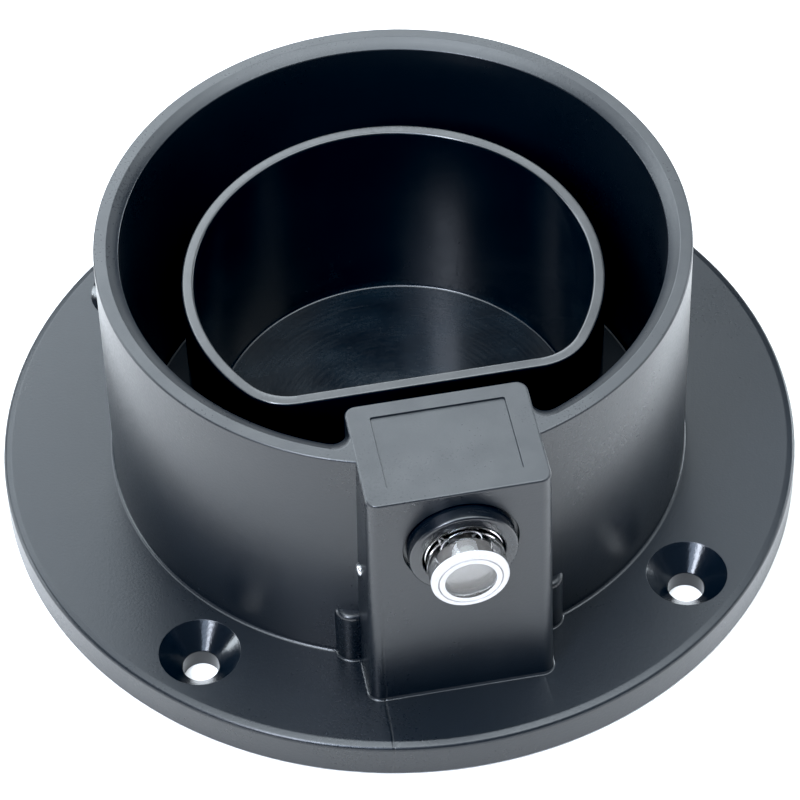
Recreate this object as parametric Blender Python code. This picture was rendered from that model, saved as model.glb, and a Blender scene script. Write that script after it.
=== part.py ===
"""Wall holster for the connector of an electric-vehicle charging cable.

A round wall flange carries a deep sleeve with a D-shaped collar inside it. The connector's shroud slips
over the collar and into the sleeve. A tower on the sleeve's side holds a spring-loaded latch lever, which
a clear push button releases.

Frame: metres, +Z out of the wall and out of the sleeve's mouth, the origin at the centre of the flange's
wall face, and the latch tower on the -Y side. Lengths below are written in millimetres times MM.
"""
from math import asin, atan2, cos, pi, radians, sin, sqrt, tau

import bmesh
import bpy
from mathutils import Matrix

MM = 0.001
GAP = 0.3 * MM

# Flange, on the wall
FLANGE_R = 58.0 * MM
FLANGE_T = 6.0 * MM
FLANGE_EDGE = 1.4 * MM
WALL_HOLE_GRID = 35.0 * MM
WALL_HOLE_R = 2.6 * MM
WALL_SINK_R = 5.8 * MM
WALL_SINK_DEPTH = 3.2 * MM

# Outer sleeve
SLEEVE_R = 41.7 * MM
SLEEVE_TOP = 47.2 * MM
SLEEVE_RIM_R = 39.9 * MM
SLEEVE_BORE_R = 38.2 * MM
SLEEVE_FOOT_BORE_R = 37.5 * MM
LEAD_IN = 1.1 * MM
MOAT_FLOOR = 5.0 * MM

# D-shaped collar, a separate insert held by screws from behind
COLLAR_Y = 0.68 * MM
COLLAR_R = 29.86 * MM
COLLAR_WALL = 1.75 * MM
COLLAR_FLAT_Y = -20.5 * MM
COLLAR_CORNER_R = 9.0 * MM
COLLAR_TOP = 38.4 * MM
COLLAR_FLOOR = 7.4 * MM
COLLAR_INSIDE_DRAFT = 1.4 * MM
SPIGOT_INSET = 3.4 * MM
SPIGOT_POCKET_FLOOR = 2.6 * MM
COLLAR_SCREW_R = 18.0 * MM

# Latch tower, part of the housing
TOWER_TOP_HALF = 12.5 * MM
TOWER_FOOT_HALF = 13.1 * MM
TOWER_FRONT_TOP = -48.0 * MM
TOWER_FRONT_FOOT = -48.4 * MM
TOWER_BACK = -30.07 * MM
TOWER_EDGE_R = 1.7 * MM
TOWER_BACK_EDGE_R = 1.6 * MM
TOWER_ROOT_R = 2.0 * MM
CAVITY_HALF = 10.3 * MM
CAVITY_FRONT = -45.8 * MM
CAVITY_BACK = -32.1 * MM
CAVITY_TOP = 45.0 * MM
TOP_PANEL_X = (-9.3 * MM, 9.1 * MM)
TOP_PANEL_Y = (-45.2 * MM, -32.5 * MM)
TOP_PANEL_R = 0.3 * MM
TOP_PANEL_DEPTH = 0.3 * MM
WINDOW_HALF = 3.8 * MM
WINDOW_Z = (5.6 * MM, 14.6 * MM)

# Button, sliding along Y; its pieces are turned, and measured outwards from the tower's front
BUTTON_Z = 37.2 * MM
BUTTON_R = 5.3 * MM
BUTTON_TIP = 6.7 * MM
BUTTON_DISH_R = 3.5 * MM
BUTTON_DISH_DEPTH = 0.5 * MM
BUTTON_REAR = 0.6 * MM
BUTTON_HOLLOW_R = 3.95 * MM
BUTTON_HOLLOW_END = 5.6 * MM
SEAL_GROOVE_R = 4.55 * MM
SEAL_GROOVE = (0.9 * MM, 1.8 * MM)
SEAL_CORD_R = 0.38 * MM
BEZEL_R = 7.4 * MM
BEZEL_FRONT = 2.2 * MM
BEZEL_EDGE = 0.7 * MM
BEZEL_RECESS_R = 7.85 * MM
BEZEL_RECESS = 0.6 * MM
BARREL_R = 6.3 * MM
BARREL_BORE_R = 5.6 * MM
BARREL_STOP = -2.7 * MM
BARREL_REAR = -4.4 * MM
NUT_R = 7.5 * MM
NUT = (-4.1 * MM, -2.5 * MM)
STEM_R = 1.6 * MM
PLUNGER_HEAD_R = 3.65 * MM
PLUNGER_HEAD = (2.9 * MM, 5.3 * MM)
CLIP_GROOVE_R = 1.2 * MM
CLIP_GROOVE = (-5.4 * MM, -4.6 * MM)
CLIP = (-5.25 * MM, -4.75 * MM)
DOME_START = -5.5 * MM
BUTTON_SPRING_R = 2.8 * MM
BUTTON_SPRING = (-2.4 * MM, 2.6 * MM)
BUTTON_WIRE_R = 0.25 * MM

# Latch lever on its steel pin
PIVOT_Y = -41.1 * MM
PIVOT_Z = 26.3 * MM
PIN_R = 1.0 * MM
LEVER_BOSS_R = 2.6 * MM
ARM_FRONT_Y = -40.6 * MM
ARM_BACK_Y = -38.2 * MM
ARM_HALF = 4.5 * MM
BOSS_HALF = 9.8 * MM
SHOULDER_HALF = 6.0 * MM
HOOK_HALF = 3.4 * MM
BRACE_HALF = 1.2 * MM
PIN_HALF = 13.2 * MM
SPRING_Z = 34.0 * MM
SPRING_PEG_R = 1.4 * MM
LATCH_SPRING_R = 2.2 * MM
LATCH_WIRE_R = 0.3 * MM

# Cover that closes the tower from behind
COVER_RECESS = 3.4 * MM
COVER_BACK = 0.2 * MM
COVER_FRONT = 2.1 * MM
COVER_SCREW_X = 13.7 * MM
COVER_SCREW_Y = -38.4 * MM
FOOT_BOSS_R = 2.45 * MM
FOOT_BOSS_TOP = 15.5 * MM
FRAME_TOP = 4.4 * MM

LARGE_STEPS = 96
SMALL_STEPS = 24


# ---------------------------------------------------------------- materials
def make_material(name, colour, roughness, metallic=0.0, transmission=0.0):
    """A Principled material in linear RGB."""
    found = bpy.data.materials.get(name)
    if found:
        return found
    made = bpy.data.materials.new(name)
    made.use_nodes = True
    shader = made.node_tree.nodes["Principled BSDF"]
    shader.inputs["Base Color"].default_value = (*colour, 1.0)
    shader.inputs["Roughness"].default_value = roughness
    shader.inputs["Metallic"].default_value = metallic
    shader.inputs["Transmission Weight"].default_value = transmission
    return made


def charcoal_plastic():
    return make_material("charcoal_plastic", (0.022, 0.026, 0.030), 0.42)


def black_plastic():
    return make_material("black_plastic", (0.010, 0.012, 0.014), 0.35)


def clear_plastic():
    return make_material("clear_plastic", (0.92, 0.94, 0.95), 0.06, transmission=0.95)


def pale_plastic():
    return make_material("pale_plastic", (0.55, 0.56, 0.57), 0.4)


def lever_plastic():
    return make_material("lever_plastic", (0.05, 0.05, 0.055), 0.45)


def zinc_steel():
    return make_material("zinc_steel", (0.62, 0.63, 0.65), 0.28, metallic=1.0)


def spring_steel():
    return make_material("spring_steel", (0.55, 0.55, 0.57), 0.22, metallic=1.0)


def black_rubber():
    return make_material("black_rubber", (0.012, 0.012, 0.012), 0.75)


# ---------------------------------------------------------------- outlines
def arc(centre, radius, start, end, steps):
    """Points on an arc in the plane, both ends included; angles in radians."""
    x, y = centre
    angles = [start + (end - start) * i / steps for i in range(steps + 1)]
    return [(x + radius * cos(angle), y + radius * sin(angle)) for angle in angles]


def rounded_rectangle(x0, x1, y0, y1, front_r, back_r, steps=5):
    """Counter-clockwise rectangle; front_r rounds the corners at y0, back_r those at y1."""
    corners = (
        ((x0 + front_r, y0 + front_r), front_r, pi),
        ((x1 - front_r, y0 + front_r), front_r, 1.5 * pi),
        ((x1 - back_r, y1 - back_r), back_r, 0.0),
        ((x0 + back_r, y1 - back_r), back_r, 0.5 * pi),
    )
    points = []
    for centre, radius, start in corners:
        points += arc(centre, radius, start, start + 0.5 * pi, steps)
    return points


def tower_outline(half, front, bore_r):
    """The tower's section, counter-clockwise from its front right corner.

    Both front corners and both back corners are round, and each side sweeps with a hollow curve into the
    sleeve's bore. The outline then turns back inside the sleeve's wall.
    """
    edge, back_edge, root = TOWER_EDGE_R, TOWER_BACK_EDGE_R, TOWER_ROOT_R
    buried_r = bore_r + 1.2 * MM
    root_x = half + root
    root_y = -sqrt((bore_r - root) ** 2 - root_x**2)
    meet = atan2(root_y, root_x)
    right = arc((half - edge, front + edge), edge, -0.5 * pi, 0.0, 5)
    right += [(half, -sqrt(buried_r**2 - half**2)), (buried_r * cos(meet), buried_r * sin(meet))]
    right += arc((root_x, root_y), root, meet, -pi, 5)
    right += arc((half - back_edge, TOWER_BACK - back_edge), back_edge, 0.0, 0.5 * pi, 4)
    return right + [(-x, y) for x, y in reversed(right)]


def d_outline(inset, round_steps=60, corner_steps=8, flat_steps=4):
    """The collar's D, shrunk evenly by inset: a round back, a flat at -Y and two rounded corners."""
    radius = COLLAR_R - inset
    corner = COLLAR_CORNER_R - inset
    flat = COLLAR_Y - COLLAR_FLAT_Y - inset
    corner_x = sqrt((radius - corner) ** 2 - (flat - corner) ** 2)
    corner_y = COLLAR_Y - (flat - corner)
    turn = asin((flat - corner) / (radius - corner))
    points = arc((0.0, COLLAR_Y), radius, -turn, pi + turn, round_steps)
    points += arc((-corner_x, corner_y), corner, pi + turn, 1.5 * pi, corner_steps)[1:]
    flat_y = COLLAR_Y - flat
    points += [(corner_x * (2.0 * i / flat_steps - 1.0), flat_y) for i in range(1, flat_steps)]
    points += arc((corner_x, corner_y), corner, -0.5 * pi, -turn, corner_steps)[:-1]
    return points


def cover_outline(inset):
    """The latch cover's outline: a rectangle with a round ear on each side for its screw."""
    half, front, back = 12.6 * MM - inset, -47.2 * MM + inset, -30.6 * MM - inset
    ear = 4.0 * MM - inset
    reach = sqrt(ear**2 - (COVER_SCREW_X - half) ** 2)
    lean = asin(reach / ear)
    right = arc((COVER_SCREW_X, COVER_SCREW_Y), ear, lean - pi, pi - lean, 14)
    left = arc((-COVER_SCREW_X, COVER_SCREW_Y), ear, lean, tau - lean, 14)
    return [(half, front)] + right + [(half, back), (-half, back)] + left + [(-half, front)]


# ---------------------------------------------------------------- mesh building
def mesh_object(name, bm, material, smooth_angle=35.0):
    """Turns a bmesh into a named object with one material and smooth shading up to an angle."""
    bmesh.ops.recalc_face_normals(bm, faces=bm.faces)
    mesh = bpy.data.meshes.new(name)
    bm.to_mesh(mesh)
    bm.free()
    if material:
        mesh.materials.append(material)
    mesh.shade_smooth()
    mesh.set_sharp_from_angle(angle=radians(smooth_angle))
    made = bpy.data.objects.new(name, mesh)
    bpy.context.scene.collection.objects.link(made)
    return made


def skin_loops(bm, loops):
    """Joins loops with the same number of points, one after the other, and caps both ends."""
    rings = [[bm.verts.new(point) for point in loop] for loop in loops]
    for lower, upper in zip(rings, rings[1:]):
        for i in range(len(lower)):
            j = (i + 1) % len(lower)
            bm.faces.new((lower[i], lower[j], upper[j], upper[i]))
    bm.faces.new(rings[0][::-1])
    bm.faces.new(rings[-1])


def loft(name, sections, material):
    """A solid through flat sections, each an outline and its height."""
    bm = bmesh.new()
    skin_loops(bm, [[(x, y, z) for x, y in outline] for outline, z in sections])
    return mesh_object(name, bm, material)


def prism(name, outline, z0, z1, material=None):
    return loft(name, [(outline, z0), (outline, z1)], material)


def block(name, x, y, z, material=None):
    """A box from three (low, high) pairs."""
    outline = [(x[0], y[0]), (x[1], y[0]), (x[1], y[1]), (x[0], y[1])]
    return prism(name, outline, z[0], z[1], material)


def turned(name, profile, material=None, steps=LARGE_STEPS):
    """Revolves an open profile of (radius, height) points, ended on the axis or closed on itself."""
    bm = bmesh.new()
    on_axis = profile[0][0] == 0.0
    circle = [(cos(tau * i / steps), sin(tau * i / steps)) for i in range(steps)]
    rings = []
    for radius, height in profile:
        spots = [(0.0, 0.0)] if radius == 0.0 else [(radius * x, radius * y) for x, y in circle]
        rings.append([bm.verts.new((x, y, height)) for x, y in spots])
    pairs = list(zip(rings, rings[1:]))
    if not on_axis:
        pairs.append((rings[-1], rings[0]))
    for lower, upper in pairs:
        for i in range(steps):
            j = (i + 1) % steps
            corners = [lower[i % len(lower)], lower[j % len(lower)]]
            corners += [upper[j % len(upper)], upper[i % len(upper)]]
            bm.faces.new(list(dict.fromkeys(corners)))
    return mesh_object(name, bm, material)


def helix_spring(name, turns, coil_r, wire_r, length, material, steps=14, sides=6):
    """A round-wire compression spring along local +Z, from 0 to length, with capped wire ends."""
    bm = bmesh.new()
    loops = []
    rise = (length - 2.0 * wire_r) / (tau * turns)
    for k in range(int(turns * steps) + 1):
        angle = tau * k / steps
        out = (cos(angle), sin(angle), 0.0)
        centre = (coil_r * out[0], coil_r * out[1], wire_r + rise * angle)
        loop = []
        for s in range(sides):
            reach, lift = wire_r * cos(tau * s / sides), wire_r * sin(tau * s / sides)
            loop.append((centre[0] + reach * out[0], centre[1] + reach * out[1], centre[2] + lift))
        loops.append(loop)
    skin_loops(bm, loops)
    return mesh_object(name, bm, material)


def combine(target, operation, *tools):
    """Unites or cuts the target with each tool in turn, then removes the tools."""
    for tool in tools:
        step = target.modifiers.new(tool.name, "BOOLEAN")
        step.operation = operation
        step.solver = "EXACT"
        step.object = tool
        graph = bpy.context.evaluated_depsgraph_get()
        result = bpy.data.meshes.new_from_object(target.evaluated_get(graph))
        target.modifiers.remove(step)
        target.data = result
        bpy.data.objects.remove(tool)
    target.data.shade_smooth()
    target.data.set_sharp_from_angle(angle=radians(35.0))
    return target


def place(made, location=(0.0, 0.0, 0.0), matrix=None):
    """Moves a tool's mesh, so that its object stays at the origin."""
    if matrix:
        made.data.transform(matrix)
    made.data.transform(Matrix.Translation(location))
    return made


ALONG_X = Matrix.Rotation(radians(90.0), 4, "Y")
OUT_OF_TOWER = Matrix.Rotation(radians(90.0), 4, "X")


def rod(name, radius, z0, z1, location, matrix=None, steps=SMALL_STEPS):
    """A plain round tool between two heights, turned and moved into place."""
    made = turned(name, [(0.0, z0), (radius, z0), (radius, z1), (0.0, z1)], steps=steps)
    return place(made, location, matrix)


# ---------------------------------------------------------------- housing
def wall_hole_places():
    return [(sx * WALL_HOLE_GRID, sy * WALL_HOLE_GRID) for sx in (-1, 1) for sy in (-1, 1)]


def collar_screw_places():
    return [
        (COLLAR_SCREW_R * cos(radians(45.0 + 90.0 * i)), COLLAR_SCREW_R * sin(radians(45.0 + 90.0 * i)))
        for i in range(4)
    ]


def countersink(name, hole_r, sink_r, mouth_z, depth, far_z, location):
    """A cutter for a countersunk hole that opens at mouth_z; depth is negative where the mouth faces up."""
    beyond = mouth_z - 1.0 * MM if depth > 0.0 else mouth_z + 1.0 * MM
    profile = [(0.0, beyond), (sink_r, beyond), (sink_r, mouth_z)]
    profile += [(hole_r, mouth_z + depth), (hole_r, far_z), (0.0, far_z)]
    return place(turned(name, profile, steps=32), location)


def flange_and_sleeve():
    edge = FLANGE_EDGE
    rounding = arc((FLANGE_R - edge, FLANGE_T - edge), edge, 0.0, 0.5 * pi, 4)
    profile = [(0.0, 0.0), (FLANGE_R - 0.4 * MM, 0.0), (FLANGE_R, 0.4 * MM)] + rounding
    profile += [(SLEEVE_R + 0.6 * MM, FLANGE_T), (SLEEVE_R + 0.1 * MM, FLANGE_T + 0.5 * MM)]
    profile += [(SLEEVE_R, SLEEVE_TOP - 0.3 * MM), (SLEEVE_R - 0.3 * MM, SLEEVE_TOP)]
    profile += [(SLEEVE_RIM_R, SLEEVE_TOP), (SLEEVE_BORE_R, SLEEVE_TOP - LEAD_IN)]
    profile += [(SLEEVE_FOOT_BORE_R, MOAT_FLOOR), (0.0, MOAT_FLOOR)]
    return turned("housing", profile, charcoal_plastic())


def tower_block():
    """The latch tower, narrower at its top for draft; its roots follow the bore out through the lead-in."""
    foot_z, lead_z = 2.0 * MM, SLEEVE_TOP - LEAD_IN
    share = (lead_z - foot_z) / (SLEEVE_TOP - foot_z)
    lead_half = TOWER_FOOT_HALF + share * (TOWER_TOP_HALF - TOWER_FOOT_HALF)
    lead_front = TOWER_FRONT_FOOT + share * (TOWER_FRONT_TOP - TOWER_FRONT_FOOT)
    sections = [
        (tower_outline(TOWER_FOOT_HALF, TOWER_FRONT_FOOT, SLEEVE_FOOT_BORE_R), foot_z),
        (tower_outline(lead_half, lead_front, SLEEVE_BORE_R), lead_z),
        (tower_outline(TOWER_TOP_HALF, TOWER_FRONT_TOP, SLEEVE_RIM_R), SLEEVE_TOP),
    ]
    return loft("tower", sections, None)


def back_pockets():
    """Cutters that core the flange's wall face between its ribs, clear of the screw bosses."""
    pockets = []
    for quarter in range(4):
        tower_side = quarter == 3
        inner = 51.0 * MM if tower_side else 45.0 * MM
        for start, end in ((-30.0, -11.0), (-9.0, 9.0), (11.0, 30.0)):
            if tower_side and start == -9.0:
                continue
            a, b = radians(90.0 * quarter + start), radians(90.0 * quarter + end)
            outline = arc((0.0, 0.0), 54.0 * MM, a, b, 6) + arc((0.0, 0.0), inner, b, a, 6)
            pockets.append(prism("pocket", outline, -1.0 * MM, 3.0 * MM))
    return pockets


def make_housing():
    housing = flange_and_sleeve()
    bosses = [
        rod("foot_boss", FOOT_BOSS_R, 2.0 * MM, FOOT_BOSS_TOP, (side * COVER_SCREW_X, COVER_SCREW_Y, 0.0))
        for side in (-1, 1)
    ]
    combine(housing, "UNION", tower_block(), *bosses)
    cavity = rounded_rectangle(-CAVITY_HALF, CAVITY_HALF, CAVITY_FRONT, CAVITY_BACK, 1.0 * MM, 1.0 * MM, 2)
    panel = rounded_rectangle(*TOP_PANEL_X, *TOP_PANEL_Y, TOP_PANEL_R, TOP_PANEL_R, 2)
    button_place = (0.0, TOWER_FRONT_TOP, BUTTON_Z)
    cutters = [
        prism("cavity", cavity, -1.0 * MM, CAVITY_TOP),
        prism("top_panel", panel, SLEEVE_TOP - TOP_PANEL_DEPTH, SLEEVE_TOP + 1.0 * MM),
        block("window", (-WINDOW_HALF, WINDOW_HALF), (-33.0 * MM, -29.0 * MM), WINDOW_Z),
        rod("guide_hole", BARREL_R + 0.2 * MM, -4.0 * MM, 4.0 * MM, button_place, OUT_OF_TOWER, 48),
        rod("bezel_recess", BEZEL_RECESS_R, -BEZEL_RECESS, 1.0 * MM, button_place, OUT_OF_TOWER, 48),
        rod("pin_hole", PIN_R + 0.15 * MM, -15.0 * MM, 15.0 * MM, (0.0, PIVOT_Y, PIVOT_Z), ALONG_X),
        prism("cover_recess", cover_outline(0.0), -1.0 * MM, COVER_RECESS),
        prism("spigot_pocket", d_outline(SPIGOT_INSET - GAP), SPIGOT_POCKET_FLOOR, MOAT_FLOOR + 1.0 * MM),
    ]
    for x in (-COVER_SCREW_X, COVER_SCREW_X):
        cutters.append(rod("cover_screw_hole", 1.45 * MM, 1.0 * MM, 13.5 * MM, (x, COVER_SCREW_Y, 0.0)))
    for x, y in wall_hole_places():
        sink = (WALL_HOLE_R, WALL_SINK_R, FLANGE_T, -WALL_SINK_DEPTH, -1.0 * MM)
        cutters.append(countersink("wall_hole", *sink, (x, y, 0.0)))
    for x, y in collar_screw_places():
        sink = (1.6 * MM, 3.4 * MM, 0.0, 2.0 * MM, 4.0 * MM)
        cutters.append(countersink("collar_hole", *sink, (x, y, 0.0)))
    combine(housing, "DIFFERENCE", *cutters, *back_pockets())
    seat_place = (0.0, CAVITY_BACK, SPRING_Z)
    seat = rod("spring_seat", SPRING_PEG_R, -0.5 * MM, 1.4 * MM, seat_place, OUT_OF_TOWER, 16)
    return combine(housing, "UNION", seat)


# ---------------------------------------------------------------- collar and its screws
def make_socket_collar():
    top = COLLAR_TOP
    sections = [
        (d_outline(SPIGOT_INSET), SPIGOT_POCKET_FLOOR + GAP),
        (d_outline(SPIGOT_INSET), MOAT_FLOOR + GAP),
        (d_outline(0.0), MOAT_FLOOR + GAP),
        (d_outline(0.0), top - 0.25 * MM),
        (d_outline(0.25 * MM), top),
        (d_outline(COLLAR_WALL - 0.25 * MM), top),
        (d_outline(COLLAR_WALL), top - 0.25 * MM),
        (d_outline(COLLAR_WALL + COLLAR_INSIDE_DRAFT), COLLAR_FLOOR),
    ]
    collar = loft("socket_collar", sections, black_plastic())
    holes = [
        rod("pilot", 1.35 * MM, 2.0 * MM, 6.6 * MM, (x, y, 0.0), steps=16) for x, y in collar_screw_places()
    ]
    return combine(collar, "DIFFERENCE", *holes)


def make_countersunk_screw(name, head_r, shank_r, back_z, tip_z, location, owner):
    """A cross-recessed screw whose head faces the wall."""
    cone_z = back_z + 0.25 * MM
    profile = [(0.0, back_z), (head_r, back_z), (head_r, cone_z)]
    profile += [(shank_r, cone_z + head_r - shank_r)]
    profile += [(shank_r, tip_z - 0.8 * MM), (0.35 * MM, tip_z), (0.0, tip_z)]
    screw = turned(name, profile, zinc_steel(), steps=20)
    slots = [
        block("slot_x", (-1.3 * MM, 1.3 * MM), (-0.3 * MM, 0.3 * MM), (back_z - 1.0 * MM, back_z + 0.8 * MM)),
        block("slot_y", (-0.3 * MM, 0.3 * MM), (-1.3 * MM, 1.3 * MM), (back_z - 1.0 * MM, back_z + 0.8 * MM)),
    ]
    combine(screw, "DIFFERENCE", *slots)
    screw.location = location
    screw.parent = owner
    return screw


# ---------------------------------------------------------------- button
def make_button_guide(axis):
    """The bezel, which sits in its recess, and the barrel whose rear wall is the button's stop."""
    edge = arc((BEZEL_R - BEZEL_EDGE, BEZEL_FRONT - BEZEL_EDGE), BEZEL_EDGE, 0.0, 0.5 * pi, 4)
    seat = GAP - BEZEL_RECESS
    profile = [(BARREL_R, seat), (BEZEL_R, seat)] + edge
    profile += [(BARREL_BORE_R + GAP, BEZEL_FRONT), (BARREL_BORE_R, BEZEL_FRONT - GAP)]
    profile += [(BARREL_BORE_R, BARREL_STOP), (STEM_R + GAP, BARREL_STOP)]
    profile += [(STEM_R + GAP, BARREL_REAR), (BARREL_R, BARREL_REAR)]
    guide = turned("button_guide", profile, black_plastic(), steps=48)
    guide.parent = axis


def make_guide_nut(axis):
    """The ring nut behind the tower's front wall, notched for a pin wrench."""
    rear, front = NUT
    bore_r = BARREL_R + 0.2 * MM
    profile = [(bore_r, rear), (NUT_R, rear), (NUT_R, front), (bore_r, front)]
    nut = turned("guide_nut", profile, zinc_steel(), steps=48)
    notch_z = (rear - 1.0 * MM, rear + 0.9 * MM)
    notches = [
        place(
            block("notch", (NUT_R - 0.6 * MM, 8.0 * MM), (-0.8 * MM, 0.8 * MM), notch_z),
            matrix=Matrix.Rotation(radians(45.0 + 90.0 * i), 4, "Z"),
        )
        for i in range(4)
    ]
    combine(nut, "DIFFERENCE", *notches)
    nut.parent = axis


def make_push_button(axis):
    """The clear cap: a shallow dish in its tip, a groove for its seal and a hollow for the plunger."""
    tip, rear, edge = BUTTON_TIP, BUTTON_REAR, 0.5 * MM
    shares = [i / 4 for i in range(4, -1, -1)]
    dish = [(BUTTON_DISH_R * share, tip - BUTTON_DISH_DEPTH * (1.0 - share**2)) for share in shares]
    hollow = [(0.0, BUTTON_HOLLOW_END), (BUTTON_HOLLOW_R, BUTTON_HOLLOW_END), (BUTTON_HOLLOW_R, rear)]
    groove_start, groove_end = SEAL_GROOVE
    skirt = [(BUTTON_R, rear), (BUTTON_R, groove_start), (SEAL_GROOVE_R, groove_start)]
    skirt += [(SEAL_GROOVE_R, groove_end), (BUTTON_R, groove_end)]
    shoulder = arc((BUTTON_R - edge, tip - edge), edge, 0.0, 0.5 * pi, 3)
    cap = turned("push_button", hollow + skirt + shoulder + dish, clear_plastic(), steps=40)
    cap.parent = axis


def make_button_plunger(axis):
    """The stem behind the cap: a head inside it, a clip groove and a domed tip that bears on the lever."""
    under, over = PLUNGER_HEAD
    head = [(0.0, over), (PLUNGER_HEAD_R, over), (PLUNGER_HEAD_R, under), (STEM_R, under)]
    rear, front = CLIP_GROOVE
    groove = [(STEM_R, front), (CLIP_GROOVE_R, front), (CLIP_GROOVE_R, rear), (STEM_R, rear)]
    dome = arc((0.0, DOME_START), STEM_R, 0.0, -0.5 * pi, 5)[:-1] + [(0.0, DOME_START - STEM_R)]
    stem = turned("button_plunger", head + groove + dome, pale_plastic(), steps=SMALL_STEPS)
    stem.parent = axis


def make_button_seal(axis):
    """The sealing ring, centred in the cap's groove."""
    centre = (SEAL_GROOVE_R + SEAL_CORD_R + 0.1 * MM, 0.5 * sum(SEAL_GROOVE))
    profile = arc(centre, SEAL_CORD_R, 0.0, tau, 8)[:-1]
    seal = turned("button_seal", profile, black_rubber(), steps=32)
    seal.parent = axis


def make_plunger_clip(axis):
    """An open retaining clip in the plunger's groove, behind the guide's rear wall."""
    start, end = radians(-60.0), radians(240.0)
    outer = arc((0.0, 0.0), 3.1 * MM, start, end, 20)
    inner = arc((0.0, 0.0), CLIP_GROOVE_R + 0.2 * MM, end, start, 20)
    clip = prism("plunger_clip", outer + inner, *CLIP, spring_steel())
    clip.parent = axis


def make_button_spring(axis):
    rear, front = BUTTON_SPRING
    spring = helix_spring("button_spring", 3.0, BUTTON_SPRING_R, BUTTON_WIRE_R, front - rear, spring_steel())
    spring.location = (0.0, 0.0, rear)
    spring.parent = axis


# ---------------------------------------------------------------- latch
def side_profile(name, points, half_width):
    """A piece cut from sheet in the YZ plane, given around the pivot, and half_width thick each way."""
    bm = bmesh.new()
    skin_loops(bm, [[(x, y, z) for y, z in points] for x in (-half_width, half_width)])
    return mesh_object(name, bm, None)


def from_pivot(points_mm):
    """World (y, z) points in millimetres, as offsets from the pivot."""
    return [(y * MM - PIVOT_Y, z * MM - PIVOT_Z) for y, z in points_mm]


def make_latch_lever():
    """The rocker: an arm with a boss on the pin, and a hook on a braced shoulder."""
    arm = [(-40.6, 9.5), (-38.2, 9.5), (-38.2, 39.2), (-38.8, 40.0), (-40.0, 40.0), (-40.6, 39.2)]
    shoulder = [(-40.0, 9.5), (-32.5, 9.5), (-32.5, 13.5), (-40.0, 13.5)]
    hook = [(-33.0, 9.5), (-28.2, 9.5), (-27.2, 10.2), (-27.2, 11.0), (-30.0, 13.5), (-33.0, 13.5)]
    brace = [(-38.5, 13.0), (-33.5, 13.0), (-38.5, 20.0)]
    lever = side_profile("latch_lever", from_pivot(arm), ARM_HALF)
    lever.data.materials.append(lever_plastic())
    peg_place = (0.0, ARM_BACK_Y - PIVOT_Y, SPRING_Z - PIVOT_Z)
    combine(
        lever,
        "UNION",
        rod("pivot_boss", LEVER_BOSS_R, -BOSS_HALF, BOSS_HALF, (0.0, 0.0, 0.0), ALONG_X, 32),
        side_profile("shoulder", from_pivot(shoulder), SHOULDER_HALF),
        side_profile("hook", from_pivot(hook), HOOK_HALF),
        side_profile("brace", from_pivot(brace), BRACE_HALF),
        rod("spring_peg", SPRING_PEG_R, -1.4 * MM, 0.5 * MM, peg_place, OUT_OF_TOWER, 16),
    )
    bore = rod("pin_bore", PIN_R + 0.2 * MM, -PIN_HALF, PIN_HALF, (0.0, 0.0, 0.0), ALONG_X)
    combine(lever, "DIFFERENCE", bore)
    lever.location = (0.0, PIVOT_Y, PIVOT_Z)


def make_pivot_pin():
    end, chamfer = PIN_HALF, 0.2 * MM
    profile = [(0.0, -end), (PIN_R - chamfer, -end), (PIN_R, chamfer - end)]
    profile += [(PIN_R, end - chamfer), (PIN_R - chamfer, end), (0.0, end)]
    pin = turned("pivot_pin", profile, zinc_steel(), steps=SMALL_STEPS)
    pin.rotation_euler = (0.0, radians(90.0), 0.0)
    pin.location = (0.0, PIVOT_Y, PIVOT_Z)


def make_latch_spring():
    length = CAVITY_BACK - ARM_BACK_Y - 2.0 * GAP
    spring = helix_spring("latch_spring", 4.0, LATCH_SPRING_R, LATCH_WIRE_R, length, spring_steel())
    spring.rotation_euler = (radians(90.0), 0.0, 0.0)
    spring.location = (0.0, CAVITY_BACK - GAP, SPRING_Z)


# ---------------------------------------------------------------- cover
def make_latch_cover():
    """The plate behind the tower, with a low frame that centres it in the cavity's mouth."""
    cover = prism("latch_cover", cover_outline(GAP), COVER_BACK, COVER_FRONT, black_plastic())
    frame = rounded_rectangle(-9.8 * MM, 9.8 * MM, -45.3 * MM, -32.6 * MM, 0.8 * MM, 0.8 * MM, 2)
    hollow = rounded_rectangle(-8.6 * MM, 8.6 * MM, -44.1 * MM, -33.8 * MM, 0.4 * MM, 0.4 * MM, 2)
    combine(cover, "UNION", prism("locating_frame", frame, 1.0 * MM, FRAME_TOP))
    holes = [
        countersink("cover_hole", 1.5 * MM, 3.1 * MM, COVER_BACK, 1.6 * MM, 3.0 * MM, (x, COVER_SCREW_Y, 0.0))
        for x in (-COVER_SCREW_X, COVER_SCREW_X)
    ]
    combine(cover, "DIFFERENCE", prism("frame_hollow", hollow, COVER_FRONT, 6.0 * MM), *holes)


def make_cover_gasket():
    lower, upper = COVER_FRONT + 0.2 * MM, COVER_RECESS - 0.2 * MM
    gasket = prism("cover_gasket", cover_outline(0.5 * MM), lower, upper, black_rubber())
    opening = rounded_rectangle(-10.1 * MM, 10.1 * MM, -45.6 * MM, -32.3 * MM, 1.0 * MM, 1.0 * MM, 2)
    holes = [
        rod("gasket_hole", 1.5 * MM, 1.0 * MM, 5.0 * MM, (side * COVER_SCREW_X, COVER_SCREW_Y, 0.0), steps=16)
        for side in (-1, 1)
    ]
    combine(gasket, "DIFFERENCE", prism("opening", opening, 1.0 * MM, 5.0 * MM), *holes)


# ---------------------------------------------------------------- assembly
def make_empty(name, location, rotation=(0.0, 0.0, 0.0)):
    made = bpy.data.objects.new(name, None)
    made.location = location
    made.rotation_euler = rotation
    made.empty_display_size = 0.01
    bpy.context.scene.collection.objects.link(made)
    return made


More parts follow.
